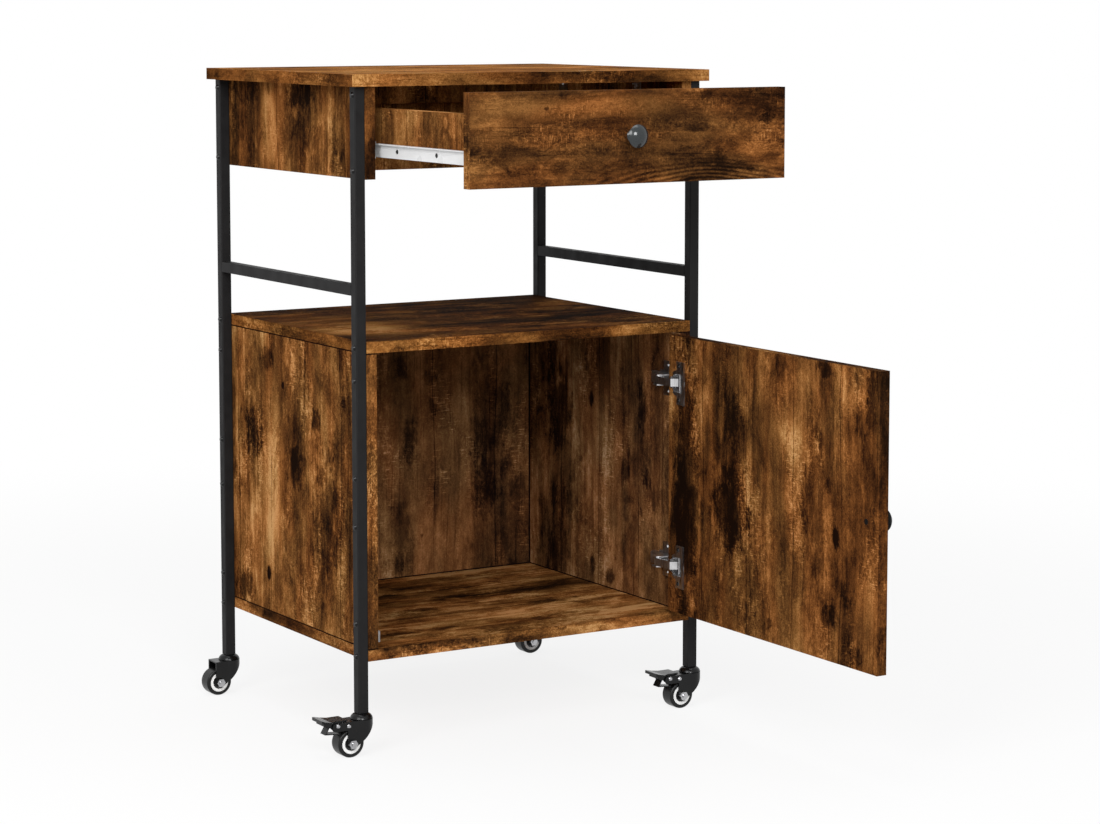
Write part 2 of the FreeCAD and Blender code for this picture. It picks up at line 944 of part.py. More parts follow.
def wheel_core():
    """Moulded core: a hub, a recessed web and the rim that carries the tyre."""
    rim = core_width / 2
    hub = hub_width / 2
    bore = axle_radius + axle_clearance
    web = rim - core_recess
    face = outline(
        (bore, -hub),
        (hub_radius, -hub),
        (hub_radius, -web),
        (core_recess_radius, -web),
        (core_recess_radius, -rim),
        (core_radius, -rim),
        (core_radius, rim),
        (core_recess_radius, rim),
        (core_recess_radius, web),
        (hub_radius, web),
        (hub_radius, hub),
        (bore, hub),
    )
    return turned(face, wheel_centre(), (0, 1, 0))


def fork_side_face(braked):
    """Outline of the fork seen from the side, with the brake's arm where it has one."""
    heel = (-caster_trail + fork_plate_round, wheel_radius - fork_plate_round / 2)
    middle = (
        (hood_radius - hood_foot) / 2 + hood_bulge,
        (hood_edge_height + hood_foot_height) / 2 - hood_bulge,
    )
    steps = [
        ((-caster_trail, wheel_radius - fork_plate_round), heel),
        (-hood_foot, hood_foot_height),
        (middle, (hood_radius, hood_edge_height)),
        (hood_radius, fork_top),
    ]
    if braked:
        r = fork_arm_round
        bend = r * (1 - math.sqrt(0.5))
        end = -fork_arm_reach
        steps += [
            (end + r, fork_top),
            ((end + bend, fork_top - bend), (end, fork_top - r)),
            (end, fork_arm_base + r),
            ((end + bend, fork_arm_base + bend), (end + r, fork_arm_base)),
            (-fork_plate_front, fork_arm_base),
        ]
    else:
        steps += [(-fork_plate_front, fork_top)]
    return outline((-fork_plate_front, wheel_radius), *steps)


def fork(braked):
    """Pressed fork: flat cheeks that widen into a round hood behind the wheel, under a top plate."""
    outer = fork_gap / 2 + fork_wall
    inner = fork_gap / 2
    far = hood_radius + fork_arm_reach
    under = fork_top - fork_wall
    sheath = joined([
        rod((0, 0, 0), (0, 0, 1), hood_radius, fork_top),
        block((0, -outer, 0), (-far, outer, fork_top)),
    ])
    room = joined([
        rod((0, 0, -overrun), (0, 0, 1), hood_radius - fork_wall, under + overrun),
        block((0, -inner, -overrun), (-far - overrun, inner, under)),
    ])
    side = slab(fork_side_face(braked), 2 * far)
    cheeks = sheath.cut(room).common(side)
    opening = block(
        (-fork_plate_front, -inner, under - fork_wall),
        (-far, inner, fork_top + overrun),
    )
    race = turned(outline(
        (race_radius - fork_wall, fork_top - fork_wall / 2),
        (race_radius, fork_top - fork_wall / 2),
        (race_radius - fork_wall, fork_top + race_rise),
        (race_radius - 2 * fork_wall, fork_top + race_rise),
    ))
    bores = [
        rod((0, 0, 0), (0, 0, 1), kingpin_radius + kingpin_clearance, fork_top + overrun),
        rod((-caster_trail, -2 * outer, wheel_radius), (0, 1, 0), axle_radius + axle_clearance, 4 * outer),
    ]
    if braked:
        for place, height in rivet_places():
            start = (-place, -2 * outer, height)
            bores.append(rod(start, (0, 1, 0), rivet_radius + rivet_fit, 4 * outer))
    return cut(joined([cheeks.cut(opening), race]), bores)


def hexagon(centre, across, thickness):
    """Hexagonal prism along Y, starting at the centre given."""
    radius = across / math.sqrt(3)
    ring = [
        Vector(centre[0] + radius * math.cos(k * math.pi / 3), centre[1],
               centre[2] + radius * math.sin(k * math.pi / 3))
        for k in range(6)
    ]
    return Part.Face(Part.makePolygon(ring + ring[:1])).extrude(Vector(0, thickness, 0))


def axle_bolt():
    outer = fork_gap / 2 + fork_wall
    start = (-caster_trail, -outer - nut_thickness - bolt_end, wheel_radius)
    shank = rod(start, (0, 1, 0), axle_radius, 2 * outer + nut_thickness + bolt_end)
    nut = hexagon((-caster_trail, -outer - nut_thickness, wheel_radius), nut_across, nut_thickness)
    head = hexagon((-caster_trail, outer, wheel_radius), nut_across, bolt_head)
    return joined([shank, nut, head])


def rivet_places():
    return (spacer_rivet_place, spacer_rivet_height), (pivot_rivet_place, pivot_rivet_height)


def rivet(place, height):
    outer = fork_gap / 2 + fork_wall
    near = Vector(-place, -outer, height)
    far = Vector(-place, outer, height)
    along = Vector(0, 1, 0)
    return joined([
        Part.makeCylinder(rivet_radius, 2 * outer, near, along),
        Part.makeCone(rivet_head_radius, rivet_radius, rivet_head, near, along * -1),
        Part.makeCone(rivet_head_radius, rivet_radius, rivet_head, far, along),
    ])


def caster_pins(braked):
    pins = [axle_bolt()]
    if braked:
        pins += [rivet(place, height) for place, height in rivet_places()]
    return Part.makeCompound(pins)


def pedal_plate():
    """Foot plate that spreads from its root to a wide tip with a turned-down lip."""
    g = pedal_gauge
    side = slab(outline(
        (-pedal_root, pedal_height - g),
        (-pedal_kink, pedal_height - g),
        (-pedal_tip + g, pedal_tip_height - g),
        (-pedal_tip + g, pedal_tip_height - pedal_lip),
        (-pedal_tip, pedal_tip_height - pedal_lip),
        (-pedal_tip, pedal_tip_height),
        (-pedal_kink, pedal_height),
        (-pedal_root, pedal_height),
    ), 2 * pedal_width)
    narrow = pedal_root_width / 2
    wide = pedal_width / 2
    plan = upright([
        (-pedal_root, -narrow), (-pedal_spread, -narrow), (-pedal_kink, -wide),
        (-pedal_tip + pedal_corner, -wide), (-pedal_tip, -wide + pedal_corner),
        (-pedal_tip, wide - pedal_corner), (-pedal_tip + pedal_corner, wide),
        (-pedal_kink, wide), (-pedal_spread, narrow), (-pedal_root, narrow),
    ], 0, 2 * pedal_tip_height)
    return side.common(plan)


def pedal_ears():
    """Two ears on the pivot rivet, tied in front by the plate's turned-down web."""
    half = fork_gap / 2 - pedal_ear_gap
    front = pedal_ear_front - pedal_ear_wall
    ears = slab(outline(
        (-pedal_ear_front, pedal_height - pedal_gauge / 2),
        (-pedal_ear_back, pedal_height - pedal_gauge / 2),
        (-pedal_ear_back, pivot_rivet_height),
        ((-pivot_rivet_place, pedal_ear_base), (-shoe_root, shoe_root_height)),
        (-pedal_ear_front, pedal_ear_front_base),
    ), 2 * half)
    inside = block(
        (-front, -half + pedal_ear_wall, 0),
        (-pedal_ear_back + overrun, half - pedal_ear_wall, pedal_height - pedal_gauge),
    )
    return ears.cut(inside)


def brake_shoe():
    """Bent leaf under the pedal, whose end meets the tread when the pedal is down."""
    g = shoe_gauge
    return slab(outline(
        (-shoe_root - g, pedal_height - pedal_gauge / 2),
        (-shoe_root, pedal_height - pedal_gauge / 2),
        (-shoe_root, shoe_root_height),
        (-shoe_bend + g, shoe_bend_height),
        (-shoe_end, shoe_end_height),
        (-shoe_end, shoe_end_height - g),
        (-shoe_bend - g, shoe_bend_height - g),
        (-shoe_root - g, shoe_root_height),
    ), shoe_width)


def pedal():
    bore = rod(
        (-pivot_rivet_place, -fork_gap, pivot_rivet_height), (0, 1, 0),
        rivet_radius + rivet_fit, 2 * fork_gap
    )
    return joined([pedal_plate(), pedal_ears(), brake_shoe()]).cut(bore)


def caster_stem():
    """Threaded stem, upper raceway dome and kingpin, all fixed to the leg."""
    bend = (dome_crown_height - dome_base) * dome_shoulder_share
    shoulder = dome_radius - (dome_radius - dome_crown_radius) * (1 - dome_shoulder_share)
    dome = turned(outline(
        (dome_radius, dome_base),
        ((shoulder, dome_base + bend), (dome_crown_radius, dome_crown_height)),
        (0, dome_crown_height),
        (0, dome_crown_height - 2 * dome_wall),
        (dome_crown_radius, dome_crown_height - 2 * dome_wall),
        ((shoulder - dome_wall, dome_base + bend - dome_wall), (dome_radius - dome_wall, dome_base)),
    ))
    stem = rod((0, 0, dome_crown_height - dome_wall), (0, 0, 1), stem_radius, stem_length + dome_wall)
    base = fork_top - fork_wall - swivel_gap
    pin = rod((0, 0, base), (0, 0, 1), kingpin_radius, dome_crown_height - dome_wall - base)
    button = rod((0, 0, base - kingpin_head), (0, 0, 1), kingpin_head_radius, kingpin_head)
    return joined([dome, stem, pin, button])


def leg_insert():
    """Plug in the foot of a leg, threaded for the stem."""
    half = tube_side / 2 - tube_wall - insert_fit
    plug = block((-half, -half, 0), (half, half, insert_length))
    bore = rod((0, 0, -overrun), (0, 0, 1), stem_radius + stem_fit, insert_length + 2 * overrun)
    return moved(plug.cut(bore), 0, 0, leg_foot)


def at_corners(shape):
    return Part.makeCompound([moved(shape, side * leg_x, end * leg_y) for side, end in corners.values()])


def root_screws():
    places = bracket_screw_places() + rail_screw_places() + plate_screw_places()
    return Part.makeCompound([wood_screw(place, direction) for place, direction in places])


def build_frame():
    parts["top_board"] = worktop()
    for name, (side, end) in corners.items():
        parts["leg_" + name] = leg(side, end)
    for name, side in sides.items():
        parts["rung_" + name] = rung(side)
        parts["apron_" + name] = apron_side(side)
        parts["cabinet_side_" + name] = cabinet_side(side)
    parts["apron_back"] = apron_back()
    parts["cabinet_top"] = cabinet_deck(panel_top)
    parts["cabinet_bottom"] = cabinet_deck(cabinet_base)
    parts["cabinet_back"] = cabinet_back()
    parts["frame_screws"] = frame_screws()
    parts["worktop_brackets"] = brackets()
    parts["wood_screws"] = root_screws()
    parts["door_stop_block"] = stop_block()
    parts["leg_inserts"] = at_corners(leg_insert())


def build_drawer():
    parts["drawer_front"] = drawer_front()
    parts["drawer_back"] = drawer_back()
    parts["drawer_bottom"] = drawer_bottom()
    parts["drawer_knob"] = knob((0, drawer_face_y, drawer_knob_z), (0, -1, 0))
    parts["drawer_fittings"] = drawer_fittings()
    for name, side in sides.items():
        parts["drawer_side_" + name] = drawer_side(side)
        parts["slide_rail_" + name] = slide_rail(side)
        parts["slide_runner_" + name] = slide_runner(side)
        parts["rail_roller_" + name] = front_roller(side)
        parts["runner_roller_" + name] = rear_roller(side)


def build_door():
    parts["door_panel"] = door_panel()
    parts["door_knob"] = knob((door_outer_x, door_knob_y, door_knob_z), (1, 0, 0))
    parts["door_screws"] = door_screws()
    parts["hinge_cups"] = Part.makeCompound([hinge_cup(z) for z in hinge_heights])
    parts["hinge_plates"] = Part.makeCompound([hinge_plate(z) for z in hinge_heights])
    parts["hinge_links"] = Part.makeCompound([hinge_link(z) for z in hinge_heights])


def build_casters():
    parts["caster_stems"] = at_corners(caster_stem())
    for name, (side, end) in corners.items():
        braked = end < 0
        x, y = side * leg_x, end * leg_y
        parts["caster_fork_" + name] = moved(fork(braked), x, y)
        parts["caster_pins_" + name] = moved(caster_pins(braked), x, y)
        parts["tyre_" + name] = moved(tyre(), x, y)
        parts["wheel_core_" + name] = moved(wheel_core(), x, y)
        if braked:
            parts["brake_pedal_" + name] = moved(pedal(), x, y)


def write_parts():
    os.makedirs("parts", exist_ok=True)
    for name, shape in parts.items():
        shape.exportStep("parts/" + name + ".step")
    print("pieces written:", len(parts))


build_frame()
build_drawer()
build_door()
build_casters()
write_parts()
print("door pivot", round(pivot.x, 3), round(pivot.y, 3))
print("link pivot", round(link_pivot_x, 3), round(link_pivot_y, 3))
print("front roller", round(front_roller_y, 3), round(front_roller_z, 3))
print("rear roller", round(rear_roller_y, 3), round(rear_roller_z, 3))
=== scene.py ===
import math

import bpy
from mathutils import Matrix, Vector


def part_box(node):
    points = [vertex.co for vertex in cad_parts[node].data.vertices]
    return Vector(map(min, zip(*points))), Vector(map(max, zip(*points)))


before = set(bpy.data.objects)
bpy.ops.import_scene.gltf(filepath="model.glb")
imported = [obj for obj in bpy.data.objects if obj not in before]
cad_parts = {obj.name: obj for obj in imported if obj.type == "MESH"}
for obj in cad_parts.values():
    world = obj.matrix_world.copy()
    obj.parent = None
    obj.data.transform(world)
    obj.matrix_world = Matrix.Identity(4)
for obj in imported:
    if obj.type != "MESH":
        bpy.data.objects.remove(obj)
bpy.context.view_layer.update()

# Lengths are metres in the frame of the CAD model: X to the right, Y to the back, Z up.
MM = 0.001
X, Y, Z = 0, 1, 2

# The photograph's view. Lens and sensor are in millimetres.
CAMERA_PLACE = Vector((-2.0366, -3.6036, 0.9993))
CAMERA_YAW = math.radians(31.326)
CAMERA_PITCH = math.radians(6.08)
CAMERA_LENS = 95.783
CAMERA_SENSOR = 36
CAMERA_SHIFT = -0.09
CAMERA_REACH = 60

# The printed board from its darkest to its lightest tone, as screen values from 0 to 255
BOARD_TONES = (
    (0.00, (22, 12, 7)), (0.18, (45, 26, 13)), (0.36, (74, 45, 22)), (0.54, (103, 65, 32)),
    (0.72, (138, 91, 48)), (0.86, (165, 116, 67)), (1.00, (192, 144, 94)),
)

# The print leans to red in some places and to olive in others
RED_TINT = (1.05, 0.96, 0.90, 1)
OLIVE_TINT = (0.96, 1.04, 1.05, 1)

# Last tints of a board: of most boards, of the worktop, of the cabinet's top, and of the boards
# deep in the cabinet, whose light comes by way of other boards and is redder
BOARD_TONE = (1, 0.985, 0.97)
TOP_TONE = (1, 0.97, 0.88)
SHELF_TONE = (1, 0.97, 0.86)
INNER_TONE = (0.96, 1.06, 1.42)

# The boards' specular level. The print is matt, also where it is seen at a grazing angle.
BOARD_SHINE = 0.003

# Width of a plank where a board doesn't say it
PLANK = 105 * MM

# The noises of the print: the length of their marks along the grain and the width across it in
# millimetres, then the noise's detail, roughness and distortion
NOISES = {
    "sway": (250, 100, 2, 0.5, 0),
    "patches": (180, 75, 2, 0.5, 0),
    "clouds": (46, 24, 5, 0.66, 0.35),
    "streaks": (300, 12, 4, 0.62, 0),
    "mottle": (8, 4.5, 4, 0.82, 0.8),
    "grit": (2.2, 1.6, 3, 0.8, 0),
    "smoke": (85, 50, 6, 0.62, 0.4),
    "worn": (160, 60, 5, 0.62, 0.2),
    "scratches": (1.3, 14, 2, 0.5, 0),
    "dashes": (22, 1.6, 1, 0.5, 0),
    "cracks": (130, 3, 3, 0.6, 0.1),
    "warmth": (140, 50, 3, 0.5, 0.3),
}

# Smooth steps: the two values between which a feature sets in, and what it gives at each of them
STEPS = {
    "smoke": (0.09, 0.17, 0.0, 1.0),
    "worn": (0.06, 0.20, 0.0, 1.0),
    "mottle where worn": (-0.02, 0.12, 0.55, 1.25),
    "seam": (0.489, 0.496, 0.0, 1.0),
    "seam where worn": (-0.12, 0.06, 0.45, 1.0),
    "scratch": (0.08, 0.18, 0.0, 1.0),
    "scratch where worn": (-0.04, 0.12, 0.0, 0.22),
    "dash": (0.17, 0.27, 0.0, 1.0),
    "dash by patch": (-0.16, 0.12, 0.22, 0.06),
    "crack": (0.10, 0.19, 0.0, 1.0),
    "arches": (1.0, 2.0, 1.0, 0.0),
    # the dark line along a joint: partly the seam, partly painted shade in the corner
    "joint": (0.6, 1.0, 1.0, 0.0),
    "warmth": (-0.16, 0.16, 0.0, 1.0),
    "roughness": (-0.20, 0.20, 0.78, 0.66),
}

# The rim of a mark, in shares of its half lengths
MARK_RIM = (0.45, 1.15)

# What each feature adds to a board's tone, where minus is darker. The first ones grow with the
# board's contrast.
BROAD_WEIGHTS = {
    "patches": 1.25, "clouds": 0.98, "streaks": 0.72, "planks": 0.12, "flakes": 0.17,
    "smoke": -0.22, "worn": 0.15,
}
MOTTLE_WEIGHT = 1.3
GRIT_WEIGHT = 0.80
SEAM_WEIGHT = -0.32
SCRATCH_WEIGHT = 1.3
DASH_WEIGHT = -1.0
CRACK_WEIGHT = -0.17
JOINT_SHADE_WEIGHT = -1.1
ARCH_WEIGHT = 0.15

# Width of the dark line along a joint between boards: partly the seam, partly painted shade in the corner
JOINT_SHADE_WIDTH = 2.0 * MM

# Each board's part of the print lies this far on, along and across the grain, per unit of its seed,
# and its planks' tones start this far on
SEED_STEPS = (1.7, 0.9)
PLANK_SEED_STEP = 3.3

# How far the grain sways sideways, per unit of the sway's noise
SWAY_WIDTH = 22 * MM

# Flakes of the print, and how far clouds and mottling shift their rims in metres
FLAKE_SIZE = (260 * MM, 30 * MM)
FLAKE_SHIFT = (0.20, 0.012)

# Tone of the print without features, and the share by which a cloud frays the rim of a mark
MIDDLE_TONE = 0.50
FRAY = {"clouds": 2.2, "streaks": 0.8, "mottle": 1.0}

# Phase of the arched lines per size of the arches, and how far clouds bend them
ARCH_PHASE = 36.0
ARCH_BEND = 4.0

# Relief of the print: what each noise adds to it, its height and its strength
RELIEF = {"mottle": 0.6, "dashes": -0.5, "streaks": 0.5}
RELIEF_HEIGHT = 0.12 * MM
RELIEF_STRENGTH = 0.5

# A face is an end of the board where its normal's part along the grain is above END_FACE, and an
# edge or an end where the part across the board's thickness is below EDGE_FACE
END_FACE = 0.7
EDGE_FACE = 0.5

# The middle of a noise's values, and nearly all of them
MOST_OF_NOISE = (0.35, 0.65)
ALL_OF_NOISE = (0.30, 0.70)

# Paint: the scales of its clouds and of its fine relief, per metre, the shares between which its
# roughness varies, and the strength of the relief
PAINT_CLOUDS = 45.0
PAINT_GRAINS = 1400.0
PAINT_SPREAD = (0.88, 1.12)
PAINT_STRENGTH = 0.6

# Plated metal: the scale of its clouds and of its lines, across and along them, per metre, the
# shares between which its colour and its roughness vary, and its relief's height and strength
PLATE_CLOUDS = 60.0
PLATE_LINES = (900.0, 40.0)
PLATE_TONES = (0.86, 1.08)
PLATE_SPREAD = (0.75, 1.3)
PLATE_RELIEF = 0.02 * MM
PLATE_STRENGTH = 0.5

# Wheel cores: the scale of their clouds, per metre, their roughness, and their relief's height and
# strength. Their web is black up to the first radius, partly a dark bearing cover and partly painted
# shade from the fork, and white from the second one on.
WHEEL_CLOUDS = 160.0
WHEEL_ROUGHNESS = (0.26, 0.40)
WHEEL_RELIEF = 0.03 * MM
WHEEL_STRENGTH = 0.5
WHEEL_RING = (9.4 * MM, 9.7 * MM)
WHEEL_BLACK_AND_SHADE = (0.010, 0.010, 0.010, 1)
WHEEL_WHITE = (0.80, 0.80, 0.79, 1)

# Light of the world, and the floor: its size, its paint, the share of plain white that the camera
# sees near the cart and far from it, and the distances of near and far
WORLD_LIGHT = 0.42
FLOOR_SIZE = 14
FLOOR_PAINT = 0.80
FLOOR_WHITE = (0.84, 1.0)
FLOOR_REACH = (0.7, 2.4)

# Lamps: name, place, aim, size and power
LAMPS = (
    ("key", (-3.0, -2.0, 2.5), (0, -0.1, 0.5), 1.8, 84),
    ("front", (-1.2, -3.9, 2.2), (0, 0.0, 0.40), 1.3, 92),
    ("top", (0.0, -0.3, 3.6), (0, 0, 0.5), 2.0, 40),
)

# Smoky patches, knots and worn light places of the print, read off the photograph. On the shelf the
# marks are partly painted light and shade. Each row is the place along and across the grain, the half
# length, the half width and the strength, where minus is darker. Lengths are millimetres.
DOOR_MARKS = (
    (305, -370, 55, 50, -0.38), (355, -350, 22, 14, -0.28), (435, -370, 40, 28, -0.24),
    (470, -665, 30, 22, -0.22), (350, -560, 120, 26, -0.16), (312, -603, 14, 6, -0.60),
    (300, -710, 8, 5, -0.60), (205, -592, 17, 20, -0.28), (330, -262, 260, 32, -0.34),
    (527, -580, 10, 17, -0.30), (162, -653, 23, 14, -0.28), (170, -460, 12, 9, -0.35),
    (423, -495, 38, 53, 0.10), (250, -668, 53, 33, 0.12), (330, -730, 190, 14, 0.10),
)
RIGHT_MARKS = (
    (395, 113, 71, 42, -0.36), (473, 132, 32, 23, -0.25), (414, 20, 11, 6, -0.50),
    (252, 98, 26, 45, -0.26), (319, -73, 21, 14, -0.32), (319, -129, 15, 14, -0.30),
    (364, -156, 124, 37, -0.16), (165, 120, 51, 45, -0.22), (171, 16, 14, 9, -0.42),
    (159, -31, 13, 11, -0.35), (426, -115, 34, 17, -0.24), (384, -16, 96, 43, 0.12),
)
BACK_MARKS = (
    (460, 18, 23, 9, -0.32), (437, 68, 15, 16, -0.22), (399, 74, 20, 8, -0.30),
    (343, 33, 31, 14, -0.34), (362, 172, 132, 34, -0.22), (264, 161, 66, 27, -0.24),
    (211, 18, 49, 18, -0.24), (163, 15, 19, 8, -0.32), (319, 134, 5, 5, -0.40),
    (202, 54, 5, 4, -0.40), (318, 108, 148, 23, 0.10),
)
LEFT_MARKS = (
    (391, 130, 37, 27, -0.40), (469, 36, 6, 5, -0.65), (196, 84, 9, 6, -0.65),
    (431, -68, 18, 17, -0.36), (168, 166, 28, 30, -0.36), (299, -98, 97, 36, -0.24),
    (359, 2, 39, 27, -0.24), (365, 67, 153, 31, 0.16), (504, 84, 18, 15, -0.28),
    (524, -136, 26, 19, -0.20),
)
DRAWER_MARKS = (
    (209, 849, 15, 9, -0.34), (98, 839, 36, 8, -0.26), (113, 878, 12, 8, -0.20),
    (-159, 800, 70, 18, -0.16), (-128, 866, 5, 3, -0.40), (81, 774, 14, 4, -0.22),
    (-70, 864, 130, 15, 0.30), (-43, 822, 38, 11, 0.10), (-212, 850, 34, 34, 0.22),
    (160, 800, 90, 20, -0.12),
)
# The shelf's big light mark at its left is a painted pool of light, and its dark marks towards the right
# are partly the print's smoke and partly painted shade under the drawer.
SHELF_MARKS_AND_PAINTED_LIGHT = (
    (60, 100, 80, 34, -0.30), (150, -60, 60, 44, -0.24), (0, -150, 80, 18, -0.22),
    (176, 118, 46, 20, -0.24), (-200, -40, 90, 150, 0.38), (-100, 250, 60, 30, 0.14),
)
FLOOR_MARKS = (
    (-65, 98, 16, 11, -0.26), (-75, -19, 40, 12, -0.26), (-190, -150, 50, 14, -0.30),
    (110, -60, 45, 12, -0.22), (20, 40, 60, 16, -0.18), (83, 100, 60, 12, -0.24),
    (-30, -120, 60, 16, 0.16),
)
SIDE_MARKS = ((847, -378, 9, 6, 0.40), (845, -330, 40, 10, -0.14))
APRON_MARKS = (
    (826, 75, 70, 34, 0.36), (800, -90, 40, 60, -0.12), (880, 150, 26, 60, -0.16),
    (876, -20, 30, 34, -0.30),
)

# The arched grain low on the drawer front: its centre along and across, its half length and width
DRAWER_ARCHES = (110, 748, 120, 30)


def screen(red, green, blue):
    """A linear colour from screen values between 0 and 255."""
    parts = [value / 255 for value in (red, green, blue)]
    return (*(part / 12.92 if part < 0.04 else ((part + 0.055) / 1.055) ** 2.4 for part in parts), 1)


class Finish:
    """A material's node tree, with short ways to add the nodes that the finishes share."""

    def __init__(self, name):
        self.material = bpy.data.materials.new(name)
        self.material.use_nodes = True
        self.tree = self.material.node_tree
        self.tree.nodes.clear()
        self.place = self.node("ShaderNodeTexCoord").outputs["Object"]

    def node(self, kind, **settings):
        made = self.tree.nodes.new(kind)
        for key, value in settings.items():
            setattr(made, key, value)
        return made

    def feed(self, socket, value):
        if isinstance(value, bpy.types.NodeSocket):
            self.tree.links.new(value, socket)
        else:
            socket.default_value = value

    def math(self, operation, *values):
        made = self.node("ShaderNodeMath", operation=operation)
        for socket, value in zip(made.inputs, values):
            self.feed(socket, value)
        return made.outputs[0]

    def vector(self, operation, *values):
        made = self.node("ShaderNodeVectorMath", operation=operation)
        for socket, value in zip(made.inputs, values):
            self.feed(socket, value)
        return made.outputs["Value" if operation == "LENGTH" else "Vector"]

    def split(self, vector):
        """The three parts of a vector."""
        made = self.node("ShaderNodeSeparateXYZ")
        self.feed(made.inputs[0], vector)
        return list(made.outputs)

    def gather(self, *values):
        """A vector from its three parts."""
        made = self.node("ShaderNodeCombineXYZ")
        for socket, value in zip(made.inputs, values):
            self.feed(socket, value)
        return made.outputs[0]

    def noise(self, vector, scale=1.0, detail=3.0, roughness=0.5, distortion=0.0):
        made = self.node("ShaderNodeTexNoise")
        self.feed(made.inputs["Vector"], vector)
        for key, value in (("Scale", scale), ("Detail", detail), ("Roughness", roughness),
                           ("Distortion", distortion)):
            made.inputs[key].default_value = value
        return made.outputs["Fac"]

    def grain(self, place, kind):
        """One of the print's noises, about zero."""
        length, width, detail, roughness, distortion = NOISES[kind]
        length, width = length * MM, width * MM
        stretched = self.vector("MULTIPLY", place, (1 / length, 1 / width, 1 / width))
        return self.math("SUBTRACT", self.noise(stretched, 1.0, detail, roughness, distortion), 0.5)

    def total(self, first, *terms):
        """The first value plus every pair of a value and its weight."""
        for value, weight in terms:
            made = self.node("ShaderNodeMath", operation="MULTIPLY_ADD")
            for socket, part in zip(made.inputs, (value, weight, first)):
                self.feed(socket, part)
            first = made.outputs[0]
        return first

    def between(self, value, low, high, to_low=0.0, to_high=1.0):
        """A smooth step from to_low to to_high while the value goes from low to high."""
        made = self.node("ShaderNodeMapRange", interpolation_type="SMOOTHSTEP")
        for socket, number in zip(made.inputs, (value, low, high, to_low, to_high)):
            self.feed(socket, number)
        return made.outputs[0]

    def step(self, value, kind):
        return self.between(value, *STEPS[kind])

    def ramp(self, value, stops):
        made = self.node("ShaderNodeValToRGB")
        band = made.color_ramp
        while len(band.elements) < len(stops):
            band.elements.new(0.5)
        for element, (place, colour) in zip(band.elements, stops):
            element.position = place
            element.color = colour
        self.feed(made.inputs[0], value)
        return made.outputs[0]

    def mix(self, factor, first, second, blend="MIX"):
        made = self.node("ShaderNodeMix", data_type="RGBA", blend_type=blend)
        self.feed(made.inputs[0], factor)
        self.feed(made.inputs[6], first)
        self.feed(made.inputs[7], second)
        return made.outputs[2]

    def bump(self, height, distance, strength):
        made = self.node("ShaderNodeBump")
        made.inputs["Strength"].default_value = strength
        made.inputs["Distance"].default_value = distance
        self.feed(made.inputs["Height"], height)
        return made.outputs[0]

    def surface(self, **inputs):
        """The shader and the output. Words in the names stand for spaces in the sockets."""
        shader = self.node("ShaderNodeBsdfPrincipled")
        for key, value in inputs.items():
            self.feed(shader.inputs[key.replace("_", " ")], value)
        output = self.node("ShaderNodeOutputMaterial")
        self.tree.links.new(shader.outputs[0], output.inputs["Surface"])
        return self.material


def grain_place(f, along, across, seed):
    """Coordinates along and across the grain, and 1 on the board's edges and ends.

    On end faces the grain follows the edge band.
    """
    thick = X + Y + Z - along - across
    parts = f.split(f.place)
    normal = f.split(f.node("ShaderNodeTexCoord").outputs["Normal"])
    end = f.math("GREATER_THAN", f.math("ABSOLUTE", normal[along]), END_FACE)
    edge = f.math("LESS_THAN", f.math("ABSOLUTE", normal[thick]), EDGE_FACE)

    def pick(side, cap):
        made = f.node("ShaderNodeMix", data_type="FLOAT")
        f.feed(made.inputs[0], end)
        f.feed(made.inputs[2], side)
        f.feed(made.inputs[3], cap)
        return made.outputs[0]

    a = pick(parts[along], parts[across])
    c = pick(parts[across], parts[thick])
    t = pick(parts[thick], parts[along])
    step_along, step_across = (seed * step for step in SEED_STEPS)
    return f.gather(f.math("ADD", a, step_along), f.math("ADD", c, step_across), t), edge


def mark_gap(f, place, seed, mark):
    """How far a point lies from a mark's centre, where 1 is the mark's rim."""
    along, across, long_half, wide_half = (value * MM for value in mark[:4])
    centre = (along + seed * SEED_STEPS[0], across + seed * SEED_STEPS[1], 0.0)
    offset = f.vector("SUBTRACT", place, centre)
    return f.vector("LENGTH", f.vector("MULTIPLY", offset, (1 / long_half, 1 / wide_half, 0.0)))


def joint_shade_line(f, joints):
    """1 within a dark line of seam and painted corner shade along each joint, given as an axis and its
    plane's place.
    """
    parts = f.split(f.place)
    gap = 1.0
    for axis, bound in joints:
        gap = f.math("MINIMUM", f.math("ABSOLUTE", f.math("SUBTRACT", parts[axis], bound)), gap)
    return f.step(f.math("DIVIDE", gap, JOINT_SHADE_WIDTH), "joint")


def flake_tone(f, place, clouds, mottle):
    """Torn flakes of one tone each, about zero."""
    flakes = f.node("ShaderNodeTexVoronoi", voronoi_dimensions="2D")
    by_clouds, by_mottle = FLAKE_SHIFT
    torn = f.gather(f.math("MULTIPLY", clouds, by_clouds), f.math("MULTIPLY", mottle, by_mottle), 0.0)
    length, width = FLAKE_SIZE
    shrunk = f.vector("MULTIPLY", f.vector("ADD", place, torn), (1 / length, 1 / width, 0.0))
    f.feed(flakes.inputs["Vector"], shrunk)
    flakes.inputs["Scale"].default_value = 1.0
    return f.math("SUBTRACT", f.split(flakes.outputs["Color"])[0], 0.5)


def board_strips(f, place, seed, plank, worn):
    """The tone of each plank about zero, and the dark seams between the planks."""
    strip = f.math("DIVIDE", f.split(place)[1], plank)
    whole = f.math("FLOOR", strip)
    shade = f.node("ShaderNodeTexWhiteNoise", noise_dimensions="1D")
    f.feed(shade.inputs["W"], f.math("ADD", whole, seed * PLANK_SEED_STEP))
    planks = f.math("SUBTRACT", shade.outputs[0], 0.5)
    seam_gap = f.math("ABSOLUTE", f.math("SUBTRACT", f.math("SUBTRACT", strip, whole), 0.5))
    seam = f.math("MULTIPLY", f.step(seam_gap, "seam"), f.step(worn, "seam where worn"))
    return planks, seam


